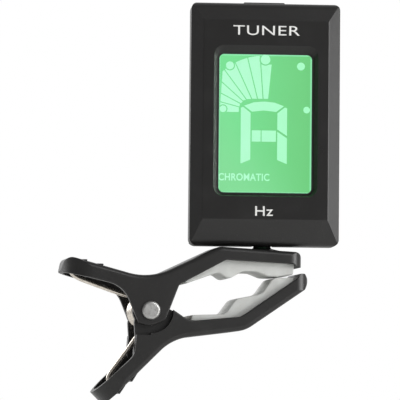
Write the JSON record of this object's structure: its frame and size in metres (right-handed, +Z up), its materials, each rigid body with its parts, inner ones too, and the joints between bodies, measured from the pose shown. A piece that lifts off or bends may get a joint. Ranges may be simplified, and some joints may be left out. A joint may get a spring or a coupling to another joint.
{
  "type": "clip-on instrument tuner",
  "caption": "Clip-on tuner for stringed instruments: a backlit display head that swivels and tilts on a sprung clip with soft grip pads.",
  "frame": {"origin": "middle of the line where the two grip pads meet, which is where a headstock is held", "axes": "+X out of the clip's mouth, +Z up along the upright head, -Y the side that the display faces; the head is stored turned 5.6 degrees clockwise about the swivel, seen from above"},
  "size_m": [0.0518, 0.0148, 0.0753],
  "materials": {
    "clip_plastic": "fine matt moulded black",
    "head_plastic": "fine spark-eroded matt black",
    "door_plastic": "fine spark-eroded matt black",
    "button_plastic": "matt dark grey",
    "pad_rubber": "soft light grey, matt",
    "spring_wire": "nickel-plated wire",
    "pin_steel": "zinc-plated rivet",
    "small_steel": "bright zinc plate",
    "post_plastic": "glass-filled nylon, satin",
    "lens_clear": "polished clear acrylic",
    "lcd_glass": "green backlit display",
    "guide_plastic": "milky light guide",
    "connector_rubber": "striped conductive rubber",
    "board_laminate": "green solder mask",
    "chip_resin": "moulded resin",
    "crystal_metal": "drawn can",
    "smd_ceramic": "ceramic bodies with tinned ends",
    "switch_body": "moulded switch body",
    "plunger_plastic": "moulded plunger",
    "piezo_brass": "brass disc with ceramic face",
    "lead_insulation": "insulated wire",
    "cell_metal": "bright coin cell can",
    "contact_spring": "plated spring leaf"
  },
  "bodies": {
    "upper_jaw": {"upper_jaw": "clip_plastic", "upper_pad": "pad_rubber", "pivot_pin": "pin_steel", "clip_spring": "spring_wire"},
    "lower_jaw": {"lower_jaw": "clip_plastic", "lower_pad": "pad_rubber"},
    "swivel": {"swivel_post": "post_plastic", "swivel_screw": "small_steel", "swivel_washer": "small_steel"},
    "head": {"front_cover": "head_plastic", "rear_cover": "head_plastic", "cover_screws": "small_steel", "window_lens": "lens_clear", "lcd_panel": "lcd_glass", "lcd_backlight": "guide_plastic", "elastomer_connector": "connector_rubber", "circuit_board": "board_laminate", "controller_chip": "chip_resin", "crystal_can": "crystal_metal", "smd_parts": "smd_ceramic", "tact_switch": "switch_body", "piezo_disc": "piezo_brass", "piezo_leads": "lead_insulation", "battery_cell": "cell_metal", "battery_contact_negative": "contact_spring", "battery_contact_positive": "contact_spring", "tilt_pin": "small_steel", "tilt_washers": "small_steel"},
    "power_button": {"power_button": "button_plastic", "switch_plunger": "plunger_plastic"},
    "battery_door": {"battery_door": "door_plastic"}
  },
  "joints": [
    {"name": "jaw_pivot", "type": "hinge", "parent": "upper_jaw", "child": "lower_jaw", "pos_m": [-0.0254, 0, -0.00655], "axis": [0, 1, 0], "range_deg": [0, 60], "stiffness_Nm_per_rad": 0.045, "springref_deg": -91.67, "deforming": ["clip_spring"]},
    {"name": "head_swivel", "type": "hinge", "parent": "upper_jaw", "child": "swivel", "pos_m": [-0.0037, 0, 0.00495], "axis": [0, 0, 1], "continuous": true},
    {"name": "head_tilt", "type": "hinge", "parent": "swivel", "child": "head", "pos_m": [-0.0037, 0, 0.0084], "axis": [0.9952, -0.0976, 0], "range_deg": [-20, 3]},
    {"name": "button_press", "type": "slide", "parent": "head", "child": "power_button", "axis": [0, 0, -1], "range_m": [0, 0.0003], "stiffness_N_per_m": 3000, "springref_m": -0.0002},
    {"name": "door_slide", "type": "slide", "parent": "head", "child": "battery_door", "axis": [0, 0, 1], "range_m": [0, 0.026]}
  ]
}
